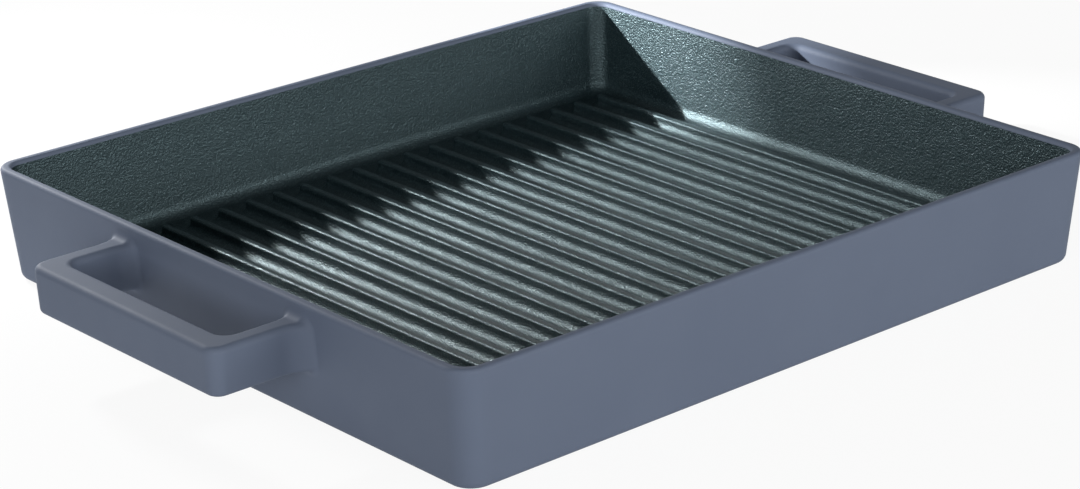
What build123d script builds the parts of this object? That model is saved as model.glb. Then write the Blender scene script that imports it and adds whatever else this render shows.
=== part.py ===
from build123d import *
import os
from math import cos, radians, tan

# Grill pan: a ribbed rectangular tray of enamelled cast iron with a loop handle at each end.
# Millimetres and degrees. +X runs from the left handle to the right one, the ribs run along Y,
# and the origin is the middle of the flat base. All sizes are taken over the enamel.

# Tray
rim_length = 280.0
rim_width = 255.0
pan_height = 41.0
wall_thickness = 3.5
wall_draft = 4.5
floor_thickness = 5.0
rim_corner_radius = 8.5
inner_corner_radius = 5.8
cove_radius = 5.2
base_edge_radius = 3.0
rim_edge_radius = 1.4

# Ribs on the floor
rib_count = 21
rib_height = 4.8
rib_top_width = 2.8
rib_draft = 6.0
rib_crest_radius = 0.9
rib_foot_radius = 3.2
side_gutter = 10.8
end_gutter = 13.3

# Handles
handle_reach = 34.2
handle_length = 101.6
handle_top = 35.3
handle_height = 16.7
handle_draft = 2.8
bar_width = 10.0
arm_width = 8.0
handle_corner_radius = 5.5
opening_corner_radius = 4.5
handle_top_radius = 2.2
handle_bottom_radius = 2.0
handle_root_radius = 3.0
outer_flare_radius = 12.0
inner_flare_radius = 10.0

# How far behind the wall's face the arms' flares end, how deep the handle's form is rooted there,
# and how thick the plate is that carries it while it is blended into the wall's face
flare_depth = 2.0
handle_root_depth = 8.0
wall_plate_depth = 24.0

# Enamel coat on the iron
enamel_thickness = 0.3

# How far a cutting shape runs past what it cuts, and how deep a form is rooted in its carrier
overrun = 2.0

wall_slope = tan(radians(wall_draft))
rib_slope = tan(radians(rib_draft))
floor_depth = pan_height - floor_thickness
floor_half_length = rim_length / 2 - wall_thickness - floor_depth * wall_slope
floor_half_width = rim_width / 2 - wall_thickness - floor_depth * wall_slope
rib_foot_half = rib_top_width / 2 + rib_height * rib_slope
last_rib_x = floor_half_length - side_gutter - rib_foot_half
rib_pitch = 2 * last_rib_x / (rib_count - 1)
rib_half_length = floor_half_width - end_gutter
enamel_line = pan_height - rim_edge_radius
flare_x = rim_length / 2 - (pan_height - handle_top + handle_height) * wall_slope - flare_depth


def level(z):
    """The horizontal plane at a height."""
    return Plane.XY.offset(z)


def aside(skin, draft):
    """The level distance by which a drafted face moves when a skin is taken off square to it."""
    return skin / cos(radians(draft))


def drafted_block(half_length, half_width, bottom, top, corner_radius, bottom_radius):
    """A block that widens upwards at the wall draft, given its half sizes at the rim's height."""
    inset = (pan_height - bottom) * wall_slope
    foot = level(bottom) * Rectangle(2 * (half_length - inset), 2 * (half_width - inset))
    block = extrude(foot, top - bottom, taper=-wall_draft)
    corners = block.edges().filter_by(lambda edge: abs((edge @ 1 - edge @ 0).Z) > (top - bottom) / 2)
    block = fillet(corners, corner_radius)
    return fillet(block.edges().group_by(Axis.Z)[0], bottom_radius)


def outer_form(skin):
    """The tray's outside as a solid block, with a skin taken off it."""
    shift = aside(skin, wall_draft)
    return drafted_block(
        rim_length / 2 - shift,
        rim_width / 2 - shift,
        skin,
        pan_height - skin,
        rim_corner_radius - skin,
        base_edge_radius - skin,
    )


def hollow_form(skin):
    """The space inside the tray, ribs left out, grown by a skin on every side but the top."""
    shift = aside(skin, wall_draft) - wall_thickness
    return drafted_block(
        rim_length / 2 + shift,
        rim_width / 2 + shift,
        floor_thickness - skin,
        pan_height + overrun,
        inner_corner_radius + skin,
        cove_radius + skin,
    )


def rib_half_profile(skin):
    """Half of a rib's section: rounded crest, drafted flank and a foot that runs out into the floor."""
    floor = floor_thickness - skin
    crest = floor + rib_height
    top_half = rib_top_width / 2 - aside(skin, rib_draft) + skin * rib_slope
    foot_half = top_half + rib_height * rib_slope
    flank = Vector(foot_half - top_half, -rib_height).normalized()
    crest_radius = rib_crest_radius - skin
    foot_radius = rib_foot_radius + skin
    half_turn = radians(90 - rib_draft) / 2
    crest_run = crest_radius * tan(half_turn)
    foot_run = foot_radius * tan(half_turn)
    crest_start = Vector(top_half - crest_run, crest)
    crest_end = Vector(top_half, crest) + flank * crest_run
    foot_start = Vector(foot_half, floor) - flank * foot_run
    foot_end = Vector(foot_half + foot_run, floor)
    root = floor - overrun
    outline = (
        Line((0, root), (0, crest))
        + Line((0, crest), crest_start)
        + TangentArc(crest_start, crest_end, tangent=(1, 0))
        + Line(crest_end, foot_start)
        + TangentArc(foot_start, foot_end, tangent=flank)
        + Line(foot_end, (foot_end.X, root))
        + Line((foot_end.X, root), (0, root))
    )
    return make_face(outline)


def rib_form(skin):
    """One rib over the origin: a straight run along Y between two round ends."""
    half = Plane.XZ * rib_half_profile(skin)
    section = half + mirror(half, Plane.YZ)
    end_y = rib_half_length - rib_foot_half
    run = extrude(section, end_y, both=True)
    far_end = Pos(0, end_y, 0) * revolve(half, Axis.Z, 180)
    return run + far_end + mirror(far_end, Plane.XZ)


def ribs(skin):
    """The whole row of ribs, evenly spaced between the side gutters."""
    rib = rib_form(skin)
    return [Pos(number * rib_pitch - last_rib_x, 0, 0) * rib for number in range(rib_count)]


def shell_form(skin):
    """The tray without its ribs: walls, floor and rounded rim."""
    shell = outer_form(skin) - hollow_form(skin)
    return fillet(shell.edges().group_by(Axis.Z)[-1], rim_edge_radius - skin)


def handle_outline(skin):
    """The right handle's outside in plan: bar, arms and the flares by which the arms widen to the wall."""
    shift = aside(skin, handle_draft)
    root_x = flare_x - handle_root_depth
    outer_x = rim_length / 2 + handle_reach - shift
    wall_end_x = flare_x - shift
    half_length = handle_length / 2 - shift
    wall_half = half_length + outer_flare_radius + overrun
    outline = Pos((root_x + outer_x) / 2, 0) * Rectangle(outer_x - root_x, 2 * half_length)
    outline += Pos((root_x + wall_end_x) / 2, 0) * Rectangle(wall_end_x - root_x, 2 * wall_half)
    wall_end = outline.vertices().group_by(Axis.X)[-2]
    flare_corners = sorted(wall_end, key=lambda vertex: abs(vertex.Y))[:2]
    outline = fillet(flare_corners, outer_flare_radius + skin)
    return fillet(outline.vertices().group_by(Axis.X)[-1], handle_corner_radius - skin)


def handle_opening(skin):
    """The right handle's opening in plan, narrowed to the wall by the flares of the arms."""
    shift = aside(skin, handle_draft)
    wall_end_x = flare_x - shift
    bar_x = rim_length / 2 + handle_reach - bar_width + shift
    half_length = handle_length / 2 - arm_width + shift
    opening = Pos((wall_end_x + bar_x) / 2, 0) * Rectangle(bar_x - wall_end_x, 2 * half_length)
    opening = fillet(opening.vertices().group_by(Axis.X)[0], inner_flare_radius + skin)
    return fillet(opening.vertices().group_by(Axis.X)[-1], opening_corner_radius + skin)


def handle_loop(skin):
    """The right handle's bar and arms, rooted in the wall and not yet blended into it."""
    top = handle_top - skin
    height = handle_height - 2 * skin
    loop = extrude(level(top) * handle_outline(skin), -height, taper=handle_draft)
    loop -= extrude(level(top) * handle_opening(skin), -height, taper=-handle_draft)

    def in_front(edge):
        return (edge @ 0.5).X > flare_x - overrun

    loop = fillet(loop.edges().group_by(Axis.Z)[-1].filter_by(in_front), handle_top_radius - skin)
    return fillet(loop.edges().group_by(Axis.Z)[0].filter_by(in_front), handle_bottom_radius - skin)


def wall_plate(skin):
    """The stretch of wall that carries the right handle, as a plate with the wall's drafted face."""
    rim_x = rim_length / 2 - aside(skin, wall_draft)
    base_x = rim_x - pan_height * wall_slope
    front = [(base_x, 0), (rim_x, pan_height)]
    back = [(rim_x - wall_plate_depth, pan_height), (base_x - wall_plate_depth, 0)]
    return extrude(Plane.XZ * make_face(Polyline(*front, *back, close=True)), handle_length, both=True)


def handle_form(skin):
    """The right handle outside the wall, with the blends that run out on the wall round each arm."""
    plate = wall_plate(skin)
    joined = plate + handle_loop(skin)
    wall_x = rim_length / 2 - aside(skin, wall_draft)

    def at_root(edge):
        spots = [edge @ 0, edge @ 0.5, edge @ 1]
        gaps = [wall_x - (pan_height - spot.Z) * wall_slope - spot.X for spot in spots]
        return max(map(abs, gaps)) < enamel_thickness / 10 and edge.length < handle_height

    return fillet(joined.edges().filter_by(at_root), handle_root_radius + skin) - plate


def slab(bottom, top):
    """A level slab that is wider than the whole pan."""
    reach = rim_length + 2 * handle_reach
    return extrude(level(bottom) * Rectangle(reach, reach), top - bottom)


def inside_coat():
    """The enamel on the floor, the ribs and the inner wall, up to the line where the colour changes."""
    behind = hollow_form(enamel_thickness) & slab(0, enamel_line)
    return (behind - ribs(enamel_thickness)) - (hollow_form(0) - ribs(0))


def outer_coat():
    """The enamel on the rim, the outer wall and the base, in one piece."""
    lining = hollow_form(enamel_thickness) & slab(0, enamel_line)
    return shell_form(0) - shell_form(enamel_thickness) - lining


os.makedirs("parts", exist_ok=True)

coat = outer_coat()
casting = shell_form(enamel_thickness) + ribs(enamel_thickness)
right_casting = handle_form(enamel_thickness)
right_coat = handle_form(0) - right_casting
left_casting = mirror(right_casting, Plane.YZ)
left_coat = mirror(right_coat, Plane.YZ)

nodes = {
    "tray_casting": casting,
    "left_handle": left_casting,
    "right_handle": right_casting,
    "inside_enamel": inside_coat(),
    "outside_enamel": coat - slab(0, base_edge_radius) - left_casting - right_casting,
    "base_enamel": coat & slab(0, base_edge_radius),
    "left_handle_enamel": left_coat,
    "right_handle_enamel": right_coat,
}
for name, shape in nodes.items():
    export_step(shape, f"parts/{name}.step")
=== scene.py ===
import logging
from dataclasses import dataclass
from enum import Enum
from math import cos, radians, sin, tan

import bmesh
import bpy
import numpy as np
from mathutils import Matrix, Vector
from numpy.typing import NDArray


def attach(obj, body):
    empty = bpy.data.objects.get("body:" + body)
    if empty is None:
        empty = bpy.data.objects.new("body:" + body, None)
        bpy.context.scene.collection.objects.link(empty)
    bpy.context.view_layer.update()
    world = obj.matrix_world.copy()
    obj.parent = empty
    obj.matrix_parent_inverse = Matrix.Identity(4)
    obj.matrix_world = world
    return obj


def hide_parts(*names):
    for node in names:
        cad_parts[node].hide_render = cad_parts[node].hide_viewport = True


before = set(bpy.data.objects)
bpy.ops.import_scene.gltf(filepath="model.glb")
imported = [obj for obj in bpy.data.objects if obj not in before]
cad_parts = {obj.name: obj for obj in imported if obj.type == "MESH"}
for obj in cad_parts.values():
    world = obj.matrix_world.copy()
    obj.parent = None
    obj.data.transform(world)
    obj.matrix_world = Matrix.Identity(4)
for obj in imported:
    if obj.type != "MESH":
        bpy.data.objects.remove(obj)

Array = NDArray[np.float64]
Indices = NDArray[np.int64]
Curve = tuple[Array, Array]
Colour = tuple[float, float, float]
Place = tuple[float, float, float]
MM = 0.001
WELD = 0.001 * MM
PLACE_DIGITS = 9
SHARE_DIGITS = 7
log = logging.getLogger("grill_pan")


class Slot(Enum):
    """Names of the record's material slots for the new pieces."""

    BLACK = "black_enamel"
    BLUE = "blue_enamel"


class Side(Enum):
    """The two handles, by the sign of the X axis that they lie on."""

    LEFT = -1
    RIGHT = 1


# Surfaces as grids


def held(start: float, end: float, steps: int, margin: float = 0.02) -> Array:
    """Even places from start to end, with one more close to each end that holds the shading flat.

    Args:
        start: The first place.
        end: The last place.
        steps: How many even steps lie between them.
        margin: How far in from each end the holding places lie, as a share of the whole run.

    Returns:
        The places in order.
    """
    shares = np.linspace(0.0, 1.0, steps + 1)
    shares = np.unique(np.concatenate([shares, [margin, 1.0 - margin]]))
    return start + (end - start) * shares


def two_steps(start: float, end: float) -> Array:
    """The place half way from start to end, and the end."""
    return np.array([(start + end) / 2, end])


def grid_quads(rows: int, columns: int, first: int = 0) -> Indices:
    """The quads of a grid whose columns close on themselves.

    Args:
        rows: How many rows of points the grid has.
        columns: How many points a row has.
        first: The index of the grid's first point.

    Returns:
        One line of four point indices for each quad.
    """
    row, column = np.meshgrid(np.arange(rows - 1), np.arange(columns), indexing="ij")
    here = row * columns + column
    beside = row * columns + (column + 1) % columns
    quads = np.stack([here, beside, beside + columns, here + columns], axis=-1)
    return quads.reshape(-1, 4) + first


def surface(name: str, grids: list[Array], flip: bool = False) -> bpy.types.Object:
    """Joins closed-column grids into one smooth object, with sharp borders and welded seams.

    Args:
        name: The new object's name.
        grids: Arrays of points, rows by columns by three, in metres.
        flip: Whether the faces are turned over.

    Returns:
        The object, at the origin, linked to the scene.
    """
    points = np.concatenate([grid.reshape(-1, 3) for grid in grids])
    starts = np.cumsum([0] + [grid.shape[0] * grid.shape[1] for grid in grids[:-1]])
    patches = [grid_quads(*grid.shape[:2], first) for grid, first in zip(grids, starts)]
    quads = np.concatenate(patches)
    if flip:
        quads = quads[:, ::-1]
    mesh = bpy.data.meshes.new(name)
    mesh.from_pydata(points, [], quads.tolist())
    skin = bmesh.new()
    skin.from_mesh(mesh)
    bmesh.ops.remove_doubles(skin, verts=skin.verts, dist=WELD)
    bmesh.ops.dissolve_degenerate(skin, edges=skin.edges, dist=WELD)
    for edge in skin.edges:
        edge.smooth = not edge.is_boundary
    skin.to_mesh(mesh)
    skin.free()
    mesh.polygons.foreach_set("use_smooth", np.ones(len(mesh.polygons), dtype=bool))
    piece = bpy.data.objects.new(name, mesh)
    bpy.context.scene.collection.objects.link(piece)
    return piece


def coat(piece: bpy.types.Object, thickness: float) -> None:
    """Gives a surface the thickness of its enamel, inwards from the face that shows.

    Args:
        piece: The surface.
        thickness: How thick the enamel is.
    """
    skin = piece.modifiers.new("coat", "SOLIDIFY")
    skin.thickness = thickness
    skin.offset = -1.0
    skin.use_even_offset = True


def dress(piece: bpy.types.Object, node: str, slot: Slot, material: bpy.types.Material) -> None:
    """Puts a piece in the place of its CAD node, with its finish.

    Args:
        piece: The finished piece.
        node: The CAD node that it stands for.
        slot: The record's slot that its finish belongs to; not used.
        material: The finish.
    """
    piece.data.materials.append(material)
    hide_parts(node)
    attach(piece, "root")
    log.info("%s: %d faces, in the place of %s", piece.name, len(piece.data.polygons), node)


@dataclass(frozen=True)
class Outline:
    """A closed plan outline, whose columns stay the same while the outline grows or shrinks.

    Each column has a core, which is a corner of a rectangle or a place on its side, and a way out.
    Its point is core * (half size - corner radius) + way * corner radius, so that one set of
    columns draws every rounded rectangle, from the rim down to a single point.
    """

    core: Array
    way: Array

    @staticmethod
    def of(along_x: Array, along_y: Array, corner_steps: int) -> "Outline":
        """Columns for a rounded rectangle, anticlockwise from above.

        Args:
            along_x: Rising places from -1 to 1 on the two sides that run along X.
            along_y: Rising places from -1 to 1 on the two sides that run along Y.
            corner_steps: How many steps each round corner takes.

        Returns:
            The outline.
        """
        core, way = [], []
        sides = ((along_y, 0), (along_x[::-1], 1), (along_y[::-1], 2), (along_x, 3))
        for places, quarter in sides:
            angle = quarter * np.pi / 2
            ahead = np.array([round(cos(angle)), round(sin(angle))])
            across = np.array([1, 0]) if quarter % 2 else np.array([0, 1])
            core.append(ahead + np.outer(places, across))
            way.append(np.tile(ahead, (len(places), 1)))
            turn = angle + np.linspace(0, np.pi / 2, corner_steps + 1)[1:-1]
            core.append(np.tile(core[-1][-1], (len(turn), 1)))
            way.append(np.stack([np.cos(turn), np.sin(turn)], axis=-1))
        return Outline(np.concatenate(core), np.concatenate(way).astype(float))

    def rings(self, half_x: Array, half_y: Array, corner: Array, height: Array) -> Array:
        """One ring of points for each row of the sizes.

        Args:
            half_x: Half of each ring's size along X.
            half_y: Half of each ring's size along Y.
            corner: Each ring's corner radius.
            height: Each ring's height.

        Returns:
            Points, rings by columns by three.
        """
        half = np.stack([half_x, half_y], axis=-1)[:, None, :]
        radius = corner[:, None, None]
        plan = self.core * (half - radius) + self.way * radius
        level = np.broadcast_to(height[:, None, None], plan.shape[:2] + (1,))
        return np.concatenate([plan, level], axis=-1)


# Shapes of the pan


@dataclass(frozen=True)
class Casting:
    """The iron under the coats: its CAD nodes keep their shape and get the finish of raw iron."""

    nodes: tuple[str, ...] = ("tray_casting", "left_handle", "right_handle")

    def dress(self, material: bpy.types.Material) -> None:
        """Gives each node its finish.

        Args:
            material: The finish.
        """
        for name in self.nodes:
            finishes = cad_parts[name].data.materials
            finishes.clear()
            finishes.append(material)
            log.info("%s: iron as cast", name)


@dataclass(frozen=True)
class Tray:
    """The tray's sizes over its enamel, and the blue coats on it."""

    rim_length: float = 280.0 * MM
    rim_width: float = 255.0 * MM
    height: float = 41.0 * MM
    wall: float = 3.5 * MM
    draft: float = radians(4.5)
    floor: float = 5.0 * MM
    rim_corner: float = 8.5 * MM
    inner_corner: float = 5.8 * MM
    cove: float = 5.2 * MM
    base_edge: float = 3.0 * MM
    rim_edge: float = 1.4 * MM
    enamel: float = 0.3 * MM
    arc_steps: int = 10
    corner_steps: int = 14
    side_steps: int = 14
    wall_steps: int = 6
    side_hold: float = 0.004
    crown_hold: float = 0.1
    base_shares: tuple[float, ...] = (0.0, 0.35, 0.7, 0.97)

    def lean(self, height: Array | float) -> Array:
        """How far the drafted wall has come in from the rim at a height."""
        return (self.height - height) * tan(self.draft)

    def outline(self) -> Outline:
        """Columns for the plain coats, with places that hold the shading beside each corner."""
        places = held(-1.0, 1.0, self.side_steps, self.side_hold)
        return Outline.of(places, places, self.corner_steps)

    def rings(self, outline: Outline, inset: Array, corner: Array, height: Array) -> Array:
        """Rings that lie inset from the rim's sharp edge."""
        half_x = self.rim_length / 2 - inset
        return outline.rings(half_x, self.rim_width / 2 - inset, corner, height)

    def outer_side(self, inset: Array, height: Array) -> Array:
        """Corner radii of the outer wall's rings: they shrink as a ring leaves it inwards."""
        return self.rim_corner - (inset - self.lean(height))

    def inner_side(self, inset: Array, height: Array) -> Array:
        """Corner radii of the inner wall's rings: they grow as a ring leaves it outwards."""
        return self.inner_corner + (self.wall + self.lean(height) - inset)

    def base_round(self) -> Curve:
        """The round between base and wall: a circle that touches both.

        Returns:
            Its inset and height, going up.
        """
        turn = np.linspace(-np.pi / 2, -self.draft, self.arc_steps + 1)
        centre = self.lean(self.base_edge) + self.base_edge / cos(self.draft)
        return centre - self.base_edge * np.cos(turn), self.base_edge * (1 + np.sin(turn))

    def rim_round(self, inner: bool) -> Curve:
        """The round on one of the rim's two edges: a circle that touches wall and crown.

        Args:
            inner: Whether it is the inner edge.

        Returns:
            Its inset and height, going from the outside in.
        """
        reach = self.rim_edge / cos(self.draft)
        shift = self.rim_edge * tan(self.draft)
        if inner:
            turn = np.linspace(np.pi / 2, np.pi - self.draft, self.arc_steps + 1)
            centre = self.wall + shift - reach
        else:
            turn = np.linspace(-self.draft, np.pi / 2, self.arc_steps + 1)
            centre = shift + reach
        height = self.height - self.rim_edge * (1 - np.sin(turn))
        return centre - self.rim_edge * np.cos(turn), height

    def outside(self, material: bpy.types.Material) -> bpy.types.Object:
        """The blue coat from the base's round up the wall, over the rim and down to the black.

        Args:
            material: The finish.

        Returns:
            The coat.
        """
        outer_inset, outer_height = self.rim_round(inner=False)
        inner_inset, inner_height = self.rim_round(inner=True)
        wall_height = held(self.base_edge, outer_height[0], self.wall_steps)[:-1]
        crown_inset = held(outer_inset[-1], inner_inset[0], 1, self.crown_hold)[1:-1]
        low_height = two_steps(inner_height[-1], self.height - self.rim_edge)
        outer = np.concatenate([self.lean(wall_height), outer_inset])
        outer_level = np.concatenate([wall_height, outer_height])
        inner = np.concatenate([inner_inset, self.wall + self.lean(low_height)])
        inner_level = np.concatenate([inner_height, low_height])
        inset = np.concatenate([outer, crown_inset, inner])
        crown_level = np.full(len(crown_inset), self.height)
        level = np.concatenate([outer_level, crown_level, inner_level])
        outer_corner = self.outer_side(outer, outer_level)
        inner_corner = self.inner_side(inner, inner_level)
        share = (crown_inset - outer_inset[-1]) / (inner_inset[0] - outer_inset[-1])
        crown_corner = outer_corner[-1] + (inner_corner[0] - outer_corner[-1]) * share
        corner = np.concatenate([outer_corner, crown_corner, inner_corner])
        piece = surface("outside_glaze", [self.rings(self.outline(), inset, corner, level)])
        coat(piece, self.enamel)
        dress(piece, "outside_enamel", Slot.BLUE, material)
        return piece

    def base(self, material: bpy.types.Material) -> bpy.types.Object:
        """The coat under the flat base and round its edge, from the middle outwards.

        Args:
            material: The finish.

        Returns:
            The coat.
        """
        inset, height = self.base_round()
        wall_height = two_steps(height[-1], self.base_edge)
        inset = np.concatenate([inset, self.lean(wall_height)])
        height = np.concatenate([height, wall_height])
        corner = self.outer_side(inset, height)
        half_x, half_y = self.rim_length / 2 - inset, self.rim_width / 2 - inset
        shares = np.array(self.base_shares)
        half_x = np.concatenate([shares * half_x[0], half_x])
        half_y = np.concatenate([shares * half_y[0], half_y])
        corner = np.concatenate([shares * corner[0], corner])
        height = np.concatenate([np.zeros(len(shares)), height])
        piece = surface("base_glaze", [self.outline().rings(half_x, half_y, corner, height)])
        coat(piece, self.enamel)
        dress(piece, "base_enamel", Slot.BLUE, material)
        return piece


@dataclass(frozen=True)
class RibbedFloor:
    """The black coat inside: the wall, the cove, the gutter and the row of ribs."""

    tray: Tray
    count: int = 21
    rib_height: float = 4.8 * MM
    top_width: float = 2.8 * MM
    draft: float = radians(6.0)
    crest: float = 0.9 * MM
    foot: float = 3.2 * MM
    side_gutter: float = 10.8 * MM
    end_gutter: float = 13.3 * MM
    cove_gap: float = 0.4 * MM
    run_steps: int = 12
    end_steps: int = 16
    arc_steps: int = 8
    run_hold: float = 0.01
    flank_hold: float = 0.1

    @property
    def foot_half(self) -> float:
        """Half of a rib's width at the floor, before its foot runs out."""
        return self.top_width / 2 + self.rib_height * tan(self.draft)

    @property
    def floor_half(self) -> Array:
        """Half sizes of the floor between the feet of the walls."""
        rim = np.array([self.tray.rim_length, self.tray.rim_width]) / 2
        return rim - self.tray.wall - self.tray.lean(self.tray.floor)

    @property
    def last_x(self) -> float:
        """The place of the last rib's middle."""
        return float(self.floor_half[0]) - self.side_gutter - self.foot_half

    @property
    def pitch(self) -> float:
        """The step from rib to rib."""
        return 2 * self.last_x / (self.count - 1)

    @property
    def middles(self) -> Array:
        """The places of the ribs' middle planes."""
        return np.linspace(-self.last_x, self.last_x, self.count)

    @property
    def end_y(self) -> float:
        """The place of the upright axis that a rib's end turns round."""
        return float(self.floor_half[1]) - self.end_gutter - self.foot_half

    @property
    def limit(self) -> float:
        """The furthest that a rib's patch of floor reaches along X, where the cove begins."""
        return self.last_x + float(self.section()[0][0]) + self.cove_gap

    def section(self) -> Curve:
        """Half of a rib's section.

        The foot is a hollow circle that touches floor and flank, the flank leans in by the draft,
        and the crest's edge is a round circle that touches flank and top.

        Returns:
            Distance from the rib's middle plane and height, from the foot's end up to the middle.
        """
        top = self.tray.floor + self.rib_height
        half_top = self.top_width / 2
        turn = np.linspace(np.pi / 2, self.draft, self.arc_steps + 1)
        foot_level = self.tray.floor + self.foot
        foot_x = half_top + (top - foot_level) * tan(self.draft) + self.foot / cos(self.draft)
        foot = foot_x - self.foot * np.cos(turn), foot_level - self.foot * np.sin(turn)
        crest_x = half_top + self.crest * tan(self.draft) - self.crest / cos(self.draft)
        back = turn[::-1]
        crest = crest_x + self.crest * np.cos(back), top - self.crest * (1 - np.sin(back))
        flank = held(0.0, 1.0, 1, self.flank_hold)[1:-1]
        flank_x = foot[0][-1] + (crest[0][0] - foot[0][-1]) * flank
        flank_z = foot[1][-1] + (crest[1][0] - foot[1][-1]) * flank
        distance = np.concatenate([foot[0], flank_x, crest[0], [crest_x / 2, 0.0]])
        height = np.concatenate([foot[1], flank_z, crest[1], [top, top]])
        return distance, height

    def rib_outline(self) -> Outline:
        """Columns of a rib: a straight side, half a turn round each end and the other side.

        Returns:
            The outline.
        """
        run = held(-1.0, 1.0, self.run_steps, self.run_hold)
        turn = np.linspace(0, np.pi, self.end_steps + 1)[1:-1]
        core, way = [], []
        for sign in (1, -1):
            core.append(np.stack([np.zeros(len(run)), run], axis=-1) * sign)
            way.append(np.tile([float(sign), 0.0], (len(run), 1)))
            core.append(np.tile([0.0, float(sign)], (len(turn), 1)))
            way.append(np.stack([np.cos(turn), np.sin(turn)], axis=-1) * sign)
        return Outline(np.concatenate(core), np.concatenate(way))

    def cell(self, outline: Outline) -> Array:
        """The edge of the patch of floor round a rib: its columns pushed out to a rectangle."""
        reach = np.abs(outline.way).max(axis=-1, keepdims=True)
        return outline.core * [0.0, self.end_y] + outline.way / reach * self.pitch / 2

    def rib(self, middle: float) -> Array:
        """One rib with its patch of floor.

        Args:
            middle: The place of the rib's middle plane.

        Returns:
            Points, from the patch's edge up to the crest, by columns, by three.
        """
        outline = self.rib_outline()
        distance, height = self.section()
        axis = outline.core * [0.0, self.end_y]
        plan = axis + outline.way * distance[:, None, None] + [middle, 0.0]
        edge = self.cell(outline) + [middle, 0.0]
        edge[:, 0] = np.clip(edge[:, 0], -self.limit, self.limit)
        plan = np.concatenate([edge[None], plan])
        level = np.concatenate([[self.tray.floor], height])
        level = np.broadcast_to(level[:, None, None], plan.shape[:2] + (1,))
        return np.concatenate([plan, level], axis=-1)

    def cove(self) -> Curve:
        """The hollow round between wall and floor: a circle that touches both.

        Returns:
            Its inset and height, going down.
        """
        tray = self.tray
        turn = np.linspace(-tray.draft, -np.pi / 2, 2 * self.arc_steps + 1)
        level = tray.floor + tray.cove
        centre = tray.wall + tray.lean(level) + tray.cove / cos(tray.draft)
        return centre - tray.cove * np.cos(turn), level + tray.cove * np.sin(turn)

    def wall_outline(self) -> Outline:
        """Columns of the wall, one for each point on the edge of the ribs' patches.

        Returns:
            The outline.
        """
        cell = self.cell(self.rib_outline())
        half_y = self.end_y + self.pitch / 2
        on_end = cell[:, 1] > half_y - WELD
        end_x = np.unique(np.round(cell[on_end, 0], PLACE_DIGITS))
        along_x = np.clip((self.middles[:, None] + end_x).ravel(), -self.limit, self.limit)
        along_x = np.unique(np.round(along_x / self.limit, SHARE_DIGITS))
        on_side = cell[:, 0] > self.pitch / 2 - WELD
        along_y = np.unique(np.round(cell[on_side, 1] / half_y, SHARE_DIGITS))
        return Outline.of(along_x, along_y, self.tray.corner_steps)

    def walls(self) -> Array:
        """The inner wall from the colour line down, the cove and the gutter, up to the patches.

        Returns:
            Points, rings by columns by three.
        """
        tray = self.tray
        outline = self.wall_outline()
        inset, height = self.cove()
        wall_height = held(tray.height - tray.rim_edge, height[0], tray.wall_steps)[:-1]
        inset = np.concatenate([tray.wall + tray.lean(wall_height), inset])
        height = np.concatenate([wall_height, height])
        rings = tray.rings(outline, inset, tray.inner_side(inset, height), height)
        edge = outline.core * [self.limit, self.end_y + self.pitch / 2]
        edge = np.concatenate([edge, np.full((len(edge), 1), tray.floor)], axis=-1)
        return np.concatenate([rings, edge[None]])

    def inside(self, material: bpy.types.Material) -> bpy.types.Object:
        """The whole black coat.

        Args:
            material: The finish.

        Returns:
            The coat.
        """
        ribs = [self.rib(middle) for middle in self.middles]
        piece = surface("inside_glaze", [self.walls(), *ribs])
        coat(piece, self.tray.enamel)
        dress(piece, "inside_enamel", Slot.BLACK, material)
        return piece


@dataclass(frozen=True)
class LoopSide:
    """One side of a loop in plan: its outside, or the edge of its opening.

    Away is 1 for the outside and -1 for the opening. From_bar and from_arm are how far the side
    lies in from the outer faces of the bar and of the arms.
    """

    away: float
    flare: float
    corner: float
    from_bar: float = 0.0
    from_arm: float = 0.0


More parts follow.
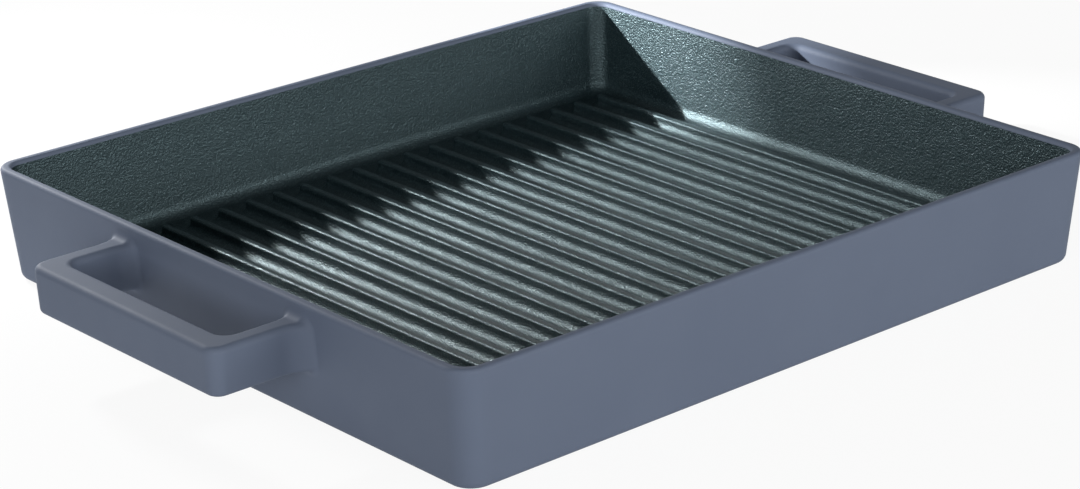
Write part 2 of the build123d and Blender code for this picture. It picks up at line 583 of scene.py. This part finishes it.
@dataclass(frozen=True)
class LoopHandle:
    """A loop handle: two arms and a bar of one drafted section, flared and blended at the wall."""

    tray: Tray
    side: Side
    reach: float = 34.2 * MM
    length: float = 101.6 * MM
    top: float = 35.3 * MM
    height: float = 16.7 * MM
    draft: float = radians(2.8)
    bar: float = 10.0 * MM
    arm: float = 8.0 * MM
    outer_corner: float = 5.5 * MM
    opening_corner: float = 4.5 * MM
    top_round: float = 2.2 * MM
    bottom_round: float = 2.0 * MM
    root: float = 3.0 * MM
    outer_flare: float = 12.0 * MM
    inner_flare: float = 10.0 * MM
    flare_depth: float = 2.0 * MM
    hold: float = 0.4 * MM
    lift: float = 0.002 * MM
    arc_steps: int = 8
    corner_steps: int = 12
    flare_steps: int = 10
    root_steps: int = 12
    run_steps: int = 3
    face_hold: float = 0.05
    arm_hold: float = 0.03
    bar_hold: float = 0.01

    @property
    def outside(self) -> LoopSide:
        """The loop's outer side."""
        return LoopSide(1.0, self.outer_flare, self.outer_corner)

    @property
    def opening(self) -> LoopSide:
        """The edge of the opening, one bar and one arm further in."""
        return LoopSide(-1.0, self.inner_flare, self.opening_corner, self.bar, self.arm)

    def half_section(self) -> tuple[Array, Array, Array, Array]:
        """Half of the section, from the bottom up.

        The face leans in by the draft from the top down, and a circle that touches face and flat
        rounds each edge.

        Returns:
            Inset from the plan's edge, height, and the outward way along the plan and upwards.
        """
        lean = tan(self.draft)
        low = np.linspace(-np.pi / 2, -self.draft, self.arc_steps + 1)
        high = np.linspace(-self.draft, np.pi / 2, self.arc_steps + 1)
        low_centre = (self.height - self.bottom_round) * lean + self.bottom_round / cos(self.draft)
        high_centre = self.top_round * (lean + 1 / cos(self.draft))
        low_inset = low_centre - self.bottom_round * np.cos(low)
        low_level = self.top - self.height + self.bottom_round * (1 + np.sin(low))
        high_inset = high_centre - self.top_round * np.cos(high)
        high_level = self.top - self.top_round * (1 - np.sin(high))
        face = held(0.0, 1.0, 1, self.face_hold)[1:-1]
        face_inset = low_inset[-1] + (high_inset[0] - low_inset[-1]) * face
        face_level = low_level[-1] + (high_level[0] - low_level[-1]) * face
        flat = np.array([self.hold / 2])
        ends = low_inset[0] + flat, high_inset[-1] + flat
        inset = np.concatenate([ends[0], low_inset, face_inset, high_inset, ends[1]])
        level = np.concatenate([low_level[:1], low_level, face_level, high_level, high_level[-1:]])
        face_angle = np.full(len(face), -self.draft)
        angle = np.concatenate([low[:1], low, face_angle, high, high[-1:]])
        return inset, level, np.cos(angle), np.sin(angle)

    def flare(self, side: LoopSide) -> Array:
        """One side of an arm from the wall outwards: the blend, then the flare to the straight run.

        The flare is a hollow circle in plan. The blend is the path of a ball that rolls along the
        flare and the wall: it leaves the flare where its middle is one ball radius off the wall's
        face, and runs round the ball from the flare's outward way to the wall's. A short strip on
        the wall holds the shading.

        Args:
            side: The side of the loop.

        Returns:
            Points, stations by section columns by three.
        """
        inset, level, out, up = self.half_section()
        tray, root, radius = self.tray, self.root, side.flare
        lean = tray.draft
        face_y = self.length / 2 - side.from_arm
        wall_x = tray.rim_length / 2 - tray.lean(level)
        lowest = tray.rim_length / 2 - tray.lean(self.top - self.height)
        centre_x = float(lowest) - self.flare_depth + radius
        reach = (centre_x - wall_x) - root * (1 + up * sin(lean)) / cos(lean)
        last = np.arcsin(reach / (radius + inset - root * out))
        turn = np.linspace(1, 0, self.flare_steps + 1)[:, None] * last
        grown = radius + inset
        place_x = centre_x - grown * np.sin(turn)
        place_y = face_y + side.away * (radius - grown * np.cos(turn))
        flare = np.stack([place_x, place_y, np.broadcast_to(level, turn.shape)], axis=-1)
        way = np.stack([np.sin(last) * out, side.away * np.cos(last) * out, up], axis=-1)
        wall = np.array([cos(lean), 0.0, -sin(lean)])
        between = np.arccos(way @ wall)[:, None]
        share = np.linspace(1, 0, self.root_steps + 1)[:-1, None, None]
        ball = np.sin((1 - share) * between) * way + np.sin(share * between) * wall
        blend = flare[0] + root * (way - ball / np.sin(between))
        along = (way - np.cos(between) * wall) / np.sin(between)
        strip = blend[0] + self.hold * along + self.lift * wall
        return np.concatenate([strip[None], blend, flare])

    def quarter(self, side: LoopSide) -> Array:
        """One side of half the loop, from the wall to the middle of the bar.

        Args:
            side: The side of the loop.

        Returns:
            Points, stations by section columns by three.
        """
        inset, level, _, _ = self.half_section()
        face_x = self.tray.rim_length / 2 + self.reach - side.from_bar
        face_y = self.length / 2 - side.from_arm
        flare = self.flare(side)
        centre = np.array([face_x, face_y]) - side.corner
        turn = np.linspace(np.pi / 2, 0, self.corner_steps + 1)
        way = np.stack([np.cos(turn), np.sin(turn)], axis=-1)[:, None, :]
        bend = centre + way * (side.corner - side.away * inset)[:, None]
        run = held(0.0, 1.0, self.run_steps, self.arm_hold)[1:-1, None, None]
        arm = flare[-1, :, :2] + (bend[0] - flare[-1, :, :2]) * run
        run = held(0.0, 1.0, self.run_steps, self.bar_hold)[1:, None, None]
        bar = bend[-1] * [1.0, 0.0] + bend[-1] * [0.0, 1.0] * (1 - run)
        plan = np.concatenate([arm, bend, bar])
        height = np.broadcast_to(level[:, None], plan.shape[:2] + (1,))
        return np.concatenate([flare, np.concatenate([plan, height], axis=-1)])

    def loop(self) -> Array:
        """The whole surface: stations along the plan by columns round the section.

        Returns:
            Points, stations by columns by three.
        """
        sides = [self.quarter(self.outside), self.quarter(self.opening)[:, ::-1]]
        half = np.concatenate(sides, axis=1)
        return np.concatenate([half, half[-2::-1] * [1.0, -1.0, 1.0]])

    def build(self, material: bpy.types.Material) -> bpy.types.Object:
        """The handle's coat, on its side of the pan.

        Args:
            material: The finish.

        Returns:
            The coat.
        """
        points = self.loop()
        points[..., 0] *= self.side.value
        name = f"{self.side.name.lower()}_handle"
        piece = surface(f"{name}_glaze", [points], flip=self.side is Side.LEFT)
        coat(piece, self.tray.enamel)
        dress(piece, f"{name}_enamel", Slot.BLUE, material)
        return piece


# Shader sums


@dataclass(frozen=True)
class Wire:
    """A socket that takes part in Python sums: each operator adds a Math node."""

    shader: "Shader"
    socket: bpy.types.NodeSocket

    def maths(self, operation: str, left: "Wire | float", right: "Wire | float") -> "Wire":
        """One Math node on two values."""
        return self.shader.node("ShaderNodeMath", {"operation": operation}, {0: left, 1: right})

    def __add__(self, other: "Wire | float") -> "Wire":
        """This value plus another."""
        return self.maths("ADD", self, other)

    __radd__ = __add__

    def __sub__(self, other: "Wire | float") -> "Wire":
        """This value less another."""
        return self.maths("SUBTRACT", self, other)

    def __rsub__(self, other: float) -> "Wire":
        """A number less this value."""
        return self.maths("SUBTRACT", other, self)

    def __mul__(self, other: "Wire | float") -> "Wire":
        """This value times another."""
        return self.maths("MULTIPLY", self, other)

    __rmul__ = __mul__

    def span(self, low: float, high: float) -> "Wire":
        """A smooth step from 0 at low to 1 at high."""
        inputs = {"Value": self, "From Min": low, "From Max": high}
        return self.shader.node("ShaderNodeMapRange", {"interpolation_type": "SMOOTHSTEP"}, inputs)


Value = Wire | float | Colour | tuple[float, ...]
Inputs = dict[str | int, Value]


class MixSocket(Enum):
    """Where a Mix node for colours has its sockets, by number."""

    SHARE = 0
    LOW = 6
    HIGH = 7
    RESULT = 2


class Shader:
    """A material's node tree under construction."""

    def __init__(self, name: str) -> None:
        """Starts a material whose one shader is a Principled BSDF.

        Args:
            name: The material's name.
        """
        self.material = bpy.data.materials.new(name)
        self.material.use_nodes = True
        self.tree = self.material.node_tree
        self.surface = self.tree.nodes["Principled BSDF"]
        self.place = self.node("ShaderNodeTexCoord", {}, {}, "Object")

    def node(
        self, kind: str, settings: dict[str, object], inputs: Inputs, output: str | int = 0
    ) -> Wire:
        """Adds any node.

        Args:
            kind: The node's type name.
            settings: Attributes, which are set first.
            inputs: Values or wires by socket name or number.
            output: The output that is wanted.

        Returns:
            That output as a wire.
        """
        made = self.tree.nodes.new(kind)
        for key, value in settings.items():
            setattr(made, key, value)
        for key, value in inputs.items():
            self.feed(made.inputs[key], value)
        return Wire(self, made.outputs[output])

    def feed(self, socket: bpy.types.NodeSocket, value: Value) -> None:
        """Links a wire to a socket, or sets the socket's own value.

        Args:
            socket: The socket that takes it.
            value: A wire, a number, or a colour without its alpha.
        """
        if isinstance(value, Wire):
            self.tree.links.new(value.socket, socket)
        elif isinstance(value, tuple) and len(socket.default_value) == 4:
            socket.default_value = (*value, 1.0)
        else:
            socket.default_value = value

    def noise(self, scale: float, detail: float = 2.0, roughness: float = 0.5) -> Wire:
        """Cloudy noise from 0 to 1, with scale in waves per metre."""
        inputs = {"Vector": self.place, "Scale": scale, "Detail": detail, "Roughness": roughness}
        return self.node("ShaderNodeTexNoise", {}, inputs)

    def grains(self, scale: float) -> Wire:
        """Distance to the nearest of scattered points, with scale in cells per metre."""
        inputs = {"Vector": self.place, "Scale": scale}
        return self.node("ShaderNodeTexVoronoi", {"feature": "SMOOTH_F1"}, inputs)

    def blend(self, share: Wire, low: Colour, high: Colour) -> Wire:
        """A colour between two.

        Args:
            share: 0 for the first and 1 for the second.
            low: The first colour.
            high: The second colour.

        Returns:
            The colour.
        """
        sockets = {MixSocket.SHARE: share, MixSocket.LOW: low, MixSocket.HIGH: high}
        inputs = {socket.value: value for socket, value in sockets.items()}
        return self.node("ShaderNodeMix", {"data_type": "RGBA"}, inputs, MixSocket.RESULT.value)

    def bump(self, height: Wire, distance: float, below: Wire | None = None) -> Wire:
        """Tilts the surface by a height.

        Args:
            height: The height, from 0 to 1.
            distance: What a height of 1 stands for, in metres.
            below: A coarser relief that this one lies on.

        Returns:
            The tilted normal.
        """
        inputs: Inputs = {"Height": height, "Distance": distance, "Strength": 1.0}
        if below is not None:
            inputs["Normal"] = below
        return self.node("ShaderNodeBump", {}, inputs)

    def cover(self, share: Wire, top: Wire) -> None:
        """Lays another shader over the Principled one.

        Args:
            share: How much of the other one shows.
            top: The other shader.
        """
        base = Wire(self, self.surface.outputs[0])
        mixed = self.node("ShaderNodeMixShader", {}, {0: share, 1: base, 2: top})
        self.feed(self.tree.nodes["Material Output"].inputs["Surface"], mixed)

    def finish(self, **sockets: Value) -> bpy.types.Material:
        """Feeds the Principled shader's sockets.

        Args:
            **sockets: Values by socket name, with underscores for spaces.

        Returns:
            The material.
        """
        for name, value in sockets.items():
            self.feed(self.surface.inputs[name.replace("_", " ")], value)
        return self.material


# Finishes


@dataclass(frozen=True)
class SatinEnamel:
    """Smooth slate-blue enamel: even colour, a satin sheen and a faint orange peel.

    Scales are in waves per metre.
    """

    light: Colour = (0.108, 0.134, 0.190)
    dark: Colour = (0.101, 0.126, 0.181)
    roughness: float = 0.68
    roughness_swing: float = 0.08
    specular: float = 0.35
    cloud_scale: float = 18.0
    cloud_detail: float = 3.0
    cloud_from: float = 0.3
    cloud_to: float = 0.7
    smudge_scale: float = 90.0
    fine_detail: float = 1.0
    peel_scale: float = 420.0
    peel_height: float = 0.012 * MM
    ripple_scale: float = 60.0
    ripple_height: float = 0.05 * MM

    def material(self) -> bpy.types.Material:
        """The finish as a material.

        Returns:
            The material.
        """
        shader = Shader("slate_blue_enamel")
        cloud = shader.noise(self.cloud_scale, self.cloud_detail)
        share = cloud.span(self.cloud_from, self.cloud_to)
        peel = shader.bump(shader.noise(self.peel_scale, self.fine_detail), self.peel_height)
        ripple = shader.noise(self.ripple_scale, self.fine_detail)
        least = self.roughness - self.roughness_swing / 2
        return shader.finish(
            Base_Color=shader.blend(share, self.dark, self.light),
            Roughness=shader.noise(self.smudge_scale) * self.roughness_swing + least,
            Specular_IOR_Level=self.specular,
            Normal=shader.bump(ripple, self.ripple_height, peel),
        )


@dataclass(frozen=True)
class PebbledEnamel:
    """Black-green enamel over sand-cast iron: a pebbled skin that glitters in low light.

    Scales are in waves or cells per metre. The tops of the pebbles are more polished, and their
    colour is painted paler as a painted highlight that stands in for glints.
    """

    # light is the paler colour painted on the pebble tops, a painted highlight for glints
    light: Colour = (0.045, 0.072, 0.078)
    dark: Colour = (0.001, 0.006, 0.009)
    sheen: Colour = (0.68, 0.94, 1.0)
    roughness: float = 0.33
    roughness_swing: float = 0.16
    specular: float = 1.0
    pebble_scale: float = 1350.0
    pebble_height: float = 0.28 * MM
    pebble_detail: float = 2.0
    pebble_mix: float = 0.7
    grain_scale: float = 2000.0
    grain_height: float = 0.12 * MM
    swell_scale: float = 160.0
    swell_height: float = 0.08 * MM
    swell_detail: float = 1.0
    # where the painted highlight on the pebble tops begins and where it is full
    painted_glint_from: float = 0.50
    painted_glint_to: float = 0.72

    def material(self) -> bpy.types.Material:
        """The finish as a material.

        Returns:
            The material.
        """
        shader = Shader("black_enamel")
        pebble = shader.noise(self.pebble_scale, self.pebble_detail, self.pebble_mix)
        # painted highlight: the pebble tops are painted paler in colour as glints; the same share
        # makes them more polished
        painted_glint = pebble.span(self.painted_glint_from, self.painted_glint_to)
        wave = shader.noise(self.swell_scale, self.swell_detail)
        swell = shader.bump(wave, self.swell_height)
        grain = shader.bump(shader.grains(self.grain_scale), self.grain_height, swell)
        most = self.roughness + self.roughness_swing / 2
        return shader.finish(
            # the base colour carries the painted highlight on the pebble tops
            Base_Color=shader.blend(painted_glint, self.dark, self.light),
            Roughness=most - painted_glint * self.roughness_swing,
            Specular_IOR_Level=self.specular,
            Specular_Tint=self.sheen,
            Normal=shader.bump(pebble, self.pebble_height, grain),
        )


@dataclass(frozen=True)
class RawIron:
    """Grey sand-cast iron, as it is under the enamel. The scale is in waves per metre."""

    light: Colour = (0.075, 0.075, 0.080)
    dark: Colour = (0.040, 0.040, 0.043)
    roughness: float = 0.55
    roughness_swing: float = 0.2
    metallic: float = 0.9
    sand_scale: float = 700.0
    sand_height: float = 0.1 * MM
    sand_detail: float = 4.0
    sand_mix: float = 0.6
    sand_from: float = 0.3
    sand_to: float = 0.7

    def material(self) -> bpy.types.Material:
        """The finish as a material.

        Returns:
            The material.
        """
        shader = Shader("cast_iron")
        sand = shader.noise(self.sand_scale, self.sand_detail, self.sand_mix)
        share = sand.span(self.sand_from, self.sand_to)
        return shader.finish(
            Base_Color=shader.blend(share, self.dark, self.light),
            Roughness=sand * self.roughness_swing + self.roughness,
            Metallic=self.metallic,
            Normal=shader.bump(sand, self.sand_height),
        )


# Studio


def hang(data: bpy.types.Light, place: Vector, back: Vector) -> None:
    """Hangs a lamp at a place.

    Args:
        data: The lamp's light.
        place: Where it hangs.
        back: The way from what it lights back to the lamp.
    """
    lamp = bpy.data.objects.new(data.name, data)
    lamp.location = place
    lamp.rotation_mode = "QUATERNION"
    lamp.rotation_quaternion = back.to_track_quat("Z", "Y")
    bpy.context.scene.collection.objects.link(lamp)


@dataclass(frozen=True)
class SoftBox:
    """A rectangular lamp that looks at the pan.

    Azimuth 0 stands on the +Y side, and 90 on the +X side. Angles are in degrees, sizes in metres
    and power in watts.
    """

    name: str
    azimuth: float
    elevation: float
    distance: float
    width: float
    height: float
    power: float

    def place(self) -> None:
        """Adds the lamp."""
        data = bpy.data.lights.new(self.name, "AREA")
        data.shape = "RECTANGLE"
        data.size, data.size_y = self.width, self.height
        data.energy = self.power
        turn, rise = radians(self.azimuth), radians(self.elevation)
        back = Vector((sin(turn) * cos(rise), cos(turn) * cos(rise), sin(rise)))
        hang(data, back * self.distance, back)


@dataclass(frozen=True)
class Snoot:
    """A small round lamp in a tube, whose soft pool of light lies on one place."""

    name: str
    stand: Place
    aim: Place
    half_angle: float
    power: float
    radius: float = 4.0 * MM
    softness: float = 1.0

    def place(self) -> None:
        """Adds the lamp."""
        data = bpy.data.lights.new(self.name, "SPOT")
        data.spot_size, data.spot_blend = radians(2 * self.half_angle), self.softness
        data.shadow_soft_size = self.radius
        data.energy = self.power
        hang(data, Vector(self.stand), Vector(self.stand) - Vector(self.aim))


@dataclass(frozen=True)
class Studio:
    """The pale floor, the light and the camera."""

    floor_size: float = 12.0
    floor_gap: float = 0.05 * MM
    floor_colour: Colour = (0.92, 0.92, 0.92)
    floor_roughness: float = 0.9
    white: Colour = (1.0, 1.0, 1.0)
    shadow: float = 0.08
    world: float = 0.18
    azimuth: float = -42.414
    elevation: float = 21.073
    roll: float = -0.826
    distance: float = 1.1216
    aim: Place = (31.592 * MM, -25.247 * MM, 6.926 * MM)
    lens: float = 107.396
    sensor: float = 36.0
    shift: float = -0.1112
    nearest: float = 0.05
    furthest: float = 50.0
    lamps: tuple[SoftBox | Snoot, ...] = (
        SoftBox("key", -18.4, 26.0, 0.422, width=0.06, height=0.02, power=1.5),
        SoftBox("horizon", 42.0, 13.0, 1.6, width=1.6, height=0.35, power=2.4),
        SoftBox("front_fill", 168.0, 14.0, 1.6, width=1.4, height=0.5, power=15.0),
        SoftBox("left_fill", -115.0, 14.0, 1.6, width=1.0, height=0.5, power=10.0),
        Snoot(
            "glint",
            stand=(-246.0 * MM, 496.0 * MM, 272.0 * MM),
            aim=(136.5 * MM, 106.0 * MM, 32.0 * MM),
            half_angle=5.5,
            power=50.0,
        ),
    )

    def camera(self) -> None:
        """Sets up the camera: it looks back along its own axis at the aim."""
        turn, rise, roll = radians(self.azimuth), radians(self.elevation), radians(self.roll)
        back = Vector((sin(turn) * cos(rise), -cos(turn) * cos(rise), sin(rise)))
        right = Vector((0, 0, 1)).cross(back).normalized()
        up = back.cross(right)
        rolled = right * cos(roll) + up * sin(roll), up * cos(roll) - right * sin(roll)
        data = bpy.data.cameras.new("camera")
        data.lens, data.sensor_width, data.shift_x = self.lens, self.sensor, self.shift
        data.clip_start, data.clip_end = self.nearest, self.furthest
        camera = bpy.data.objects.new("camera", data)
        axes = Matrix((*rolled, back)).transposed()
        camera.rotation_mode = "QUATERNION"
        camera.rotation_quaternion = axes.to_quaternion()
        camera.location = Vector(self.aim) + back * self.distance
        bpy.context.scene.collection.objects.link(camera)
        bpy.context.scene.camera = camera

    def floor(self) -> None:
        """The pale floor under the pan: white to the eye, with the pan's shadow faintly on it."""
        half, level = self.floor_size / 2, -self.floor_gap
        mesh = bpy.data.meshes.new("floor")
        ways = ((-1, -1), (1, -1), (1, 1), (-1, 1))
        mesh.from_pydata([(x * half, y * half, level) for x, y in ways], [], [(0, 1, 2, 3)])
        floor = bpy.data.objects.new("floor", mesh)
        bpy.context.scene.collection.objects.link(floor)
        shader = Shader("pale_floor")
        rays = ("Is Camera Ray", "Is Glossy Ray", "Is Transmission Ray")
        camera, glossy, through = (
            shader.node("ShaderNodeLightPath", {}, {}, ray) for ray in rays
        )
        seen = (camera + glossy + through).span(0.0, 1.0) * (1 - self.shadow)
        white = shader.node("ShaderNodeEmission", {}, {"Color": self.white, "Strength": 1.0})
        material = shader.finish(Base_Color=self.floor_colour, Roughness=self.floor_roughness)
        mesh.materials.append(material)
        shader.cover(seen, white)

    def sky(self) -> None:
        """Soft light from all round."""
        world = bpy.data.worlds.new("studio")
        bpy.context.scene.world = world
        world.use_nodes = True
        shade = world.node_tree.nodes["Background"]
        shade.inputs["Color"].default_value = (*self.white, 1.0)
        shade.inputs["Strength"].default_value = self.world

    def build(self) -> None:
        """Puts up the whole studio."""
        bpy.context.scene.view_settings.view_transform = "Standard"
        self.floor()
        self.sky()
        for lamp in self.lamps:
            lamp.place()
        self.camera()


def main() -> None:
    """Builds the pan's coats, dresses the iron and puts up the studio."""
    logging.basicConfig(level=logging.INFO, format="%(name)s: %(message)s")
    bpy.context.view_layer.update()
    blue = SatinEnamel().material()
    black = PebbledEnamel().material()
    iron = RawIron().material()
    tray = Tray()
    tray.outside(blue)
    tray.base(blue)
    RibbedFloor(tray).inside(black)
    for side in Side:
        LoopHandle(tray, side).build(blue)
    Casting().dress(iron)
    Studio().build()


if __name__ == "__main__":
    main()
